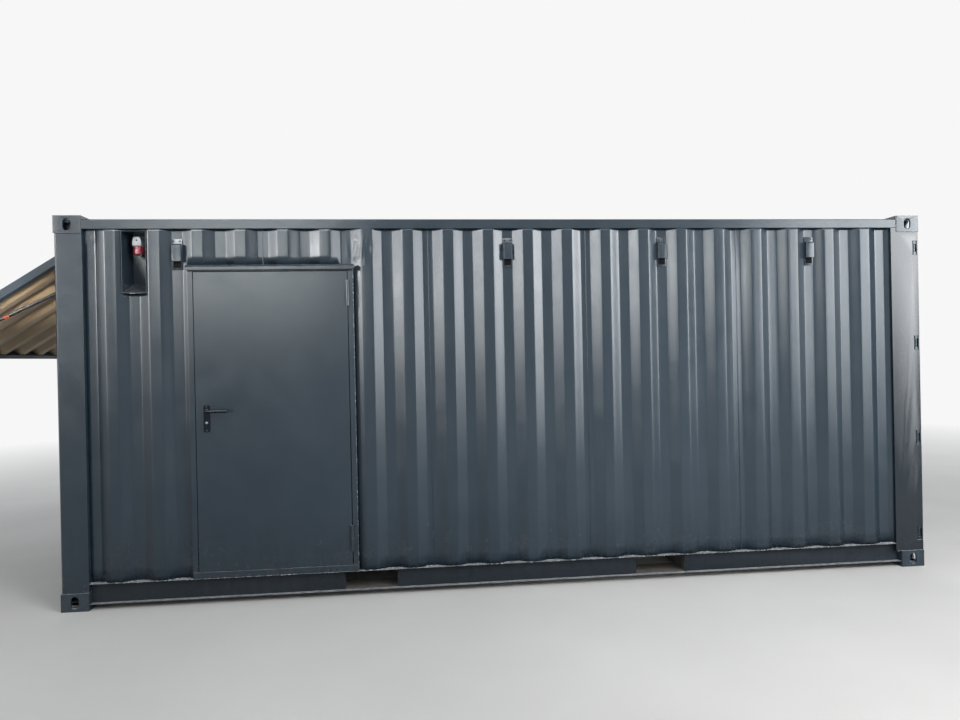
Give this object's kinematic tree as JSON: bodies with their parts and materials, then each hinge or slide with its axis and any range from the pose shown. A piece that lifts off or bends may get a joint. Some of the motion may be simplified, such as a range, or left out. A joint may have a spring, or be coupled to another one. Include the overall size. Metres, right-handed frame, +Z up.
{
  "type": "shipping container bar",
  "caption": "Twenty-foot steel container bar with a side door, a raised serving hatch on gas struts, vents, a power inlet niche and cargo doors.",
  "frame": {"origin": "on the ground under the middle of the container, between the four bottom castings", "axes": "+X along the long side to the cargo doors, +Y from the door side to the back, +Z up"},
  "size_m": [7.1121, 2.507, 2.591],
  "materials": {
    "container_paint": "anthracite gloss paint over old corrugated steel",
    "hatch_beige": "dull beige-brown inner paint",
    "underside_paint": "matt dark undercoat",
    "floor_wood": "worn varnished plywood",
    "seal_rubber": "matt black rubber",
    "inlet_grey": "light grey moulded plastic",
    "inlet_red": "red moulded plastic",
    "handle_black": "glossy black lacquered handle",
    "strut_black": "black lacquered tube",
    "rod_steel": "polished rod"
  },
  "bodies": {
    "container": {"castings_top": "container_paint", "castings_bottom": "container_paint", "left_corner_posts": "container_paint", "right_corner_posts": "container_paint", "bottom_side_rails": "container_paint", "bottom_rail_bridges": "container_paint", "top_side_rails": "container_paint", "left_end_sill": "container_paint", "left_end_header": "container_paint", "cargo_door_sill": "container_paint", "cargo_door_header": "container_paint", "cargo_frame_ends": "container_paint", "fork_pocket_roofs": "underside_paint", "fork_pocket_sides": "underside_paint", "fork_pocket_straps": "underside_paint", "floor_crossmembers": "underside_paint", "floor_boards": "floor_wood", "roof_panel": "container_paint", "roof_ends": "container_paint", "front_wall_left": "container_paint", "front_wall_over_door": "container_paint", "front_wall_right": "container_paint", "back_wall": "container_paint", "left_end_wall": "container_paint", "vents": "container_paint", "inlet_niche": "container_paint", "inlet_housing": "inlet_grey", "inlet_collar": "inlet_red", "door_jambs": "container_paint", "door_head": "container_paint", "door_threshold": "container_paint", "door_drip_cap": "container_paint", "door_hinge_pins": "container_paint", "hatch_jambs": "container_paint", "hatch_lintel": "container_paint", "hatch_header": "container_paint", "counter_rail": "container_paint", "hatch_hinge_pins": "container_paint", "cargo_door_stiles": "container_paint", "cargo_door_rails": "container_paint", "cargo_door_panels": "container_paint", "cargo_door_gaskets": "seal_rubber", "cargo_door_hinges": "container_paint", "cargo_hinge_pins": "container_paint", "cargo_lock_bars": "container_paint", "cargo_bar_keepers": "container_paint"},
    "door": {"door_leaf": "container_paint", "door_leaf_knuckles": "container_paint", "door_handle_plates": "handle_black"},
    "lever": {"door_lever": "handle_black"},
    "hatch": {"hatch_side_tubes": "container_paint", "hatch_cross_tubes": "container_paint", "hatch_panel": "hatch_beige", "hatch_knuckles": "container_paint", "hatch_strut_brackets": "container_paint"},
    "strut_back": {"strut_cylinder_back": "strut_black"},
    "strut_back_end": {"strut_rod_back": "rod_steel"},
    "strut_front": {"strut_cylinder_front": "strut_black"},
    "strut_front_end": {"strut_rod_front": "rod_steel"}
  },
  "joints": [
    {"name": "door_hinge", "type": "hinge", "parent": "container", "child": "door", "pos_m": [-1.1415, -1.2345, 1.2], "axis": [0, 0, 1], "range_deg": [0, 165]},
    {"name": "handle_turn", "type": "hinge", "parent": "door", "child": "lever", "pos_m": [-2.08, -1.23, 1.289], "axis": [0, 1, 0], "range_deg": [0, 40], "stiffness_Nm_per_rad": 3, "springref_deg": -11.46},
    {"name": "hatch_hinge", "type": "hinge", "parent": "container", "child": "hatch", "pos_m": [-3.012, 0, 2.405], "axis": [0, 1, 0], "range_deg": [-57.5, 0]},
    {"name": "strut_back_swing", "type": "hinge", "parent": "container", "child": "strut_back", "pos_m": [-2.94, 0.975, 2.196], "axis": [0, 1, 0], "range_deg": [-65.53, 0]},
    {"name": "strut_back_slide", "type": "slide", "parent": "strut_back", "child": "strut_back_end", "axis": [-0.9019, 0, -0.432], "range_m": [-0.1652, 0]},
    {"name": "strut_front_swing", "type": "hinge", "parent": "container", "child": "strut_front", "pos_m": [-2.94, -0.975, 2.196], "axis": [0, 1, 0], "range_deg": [-65.53, 0]},
    {"name": "strut_front_slide", "type": "slide", "parent": "strut_front", "child": "strut_front_end", "axis": [-0.9019, 0, -0.432], "range_m": [-0.1652, 0]}
  ],
  "couplings": [
    {"joint": "strut_back_swing", "follows": "hatch_hinge", "ratio": 1.138},
    {"joint": "strut_back_slide", "follows": "hatch_hinge", "m_per_rad": 0.16436},
    {"joint": "strut_front_swing", "follows": "hatch_hinge", "ratio": 1.138},
    {"joint": "strut_front_slide", "follows": "hatch_hinge", "m_per_rad": 0.16436}
  ]
}
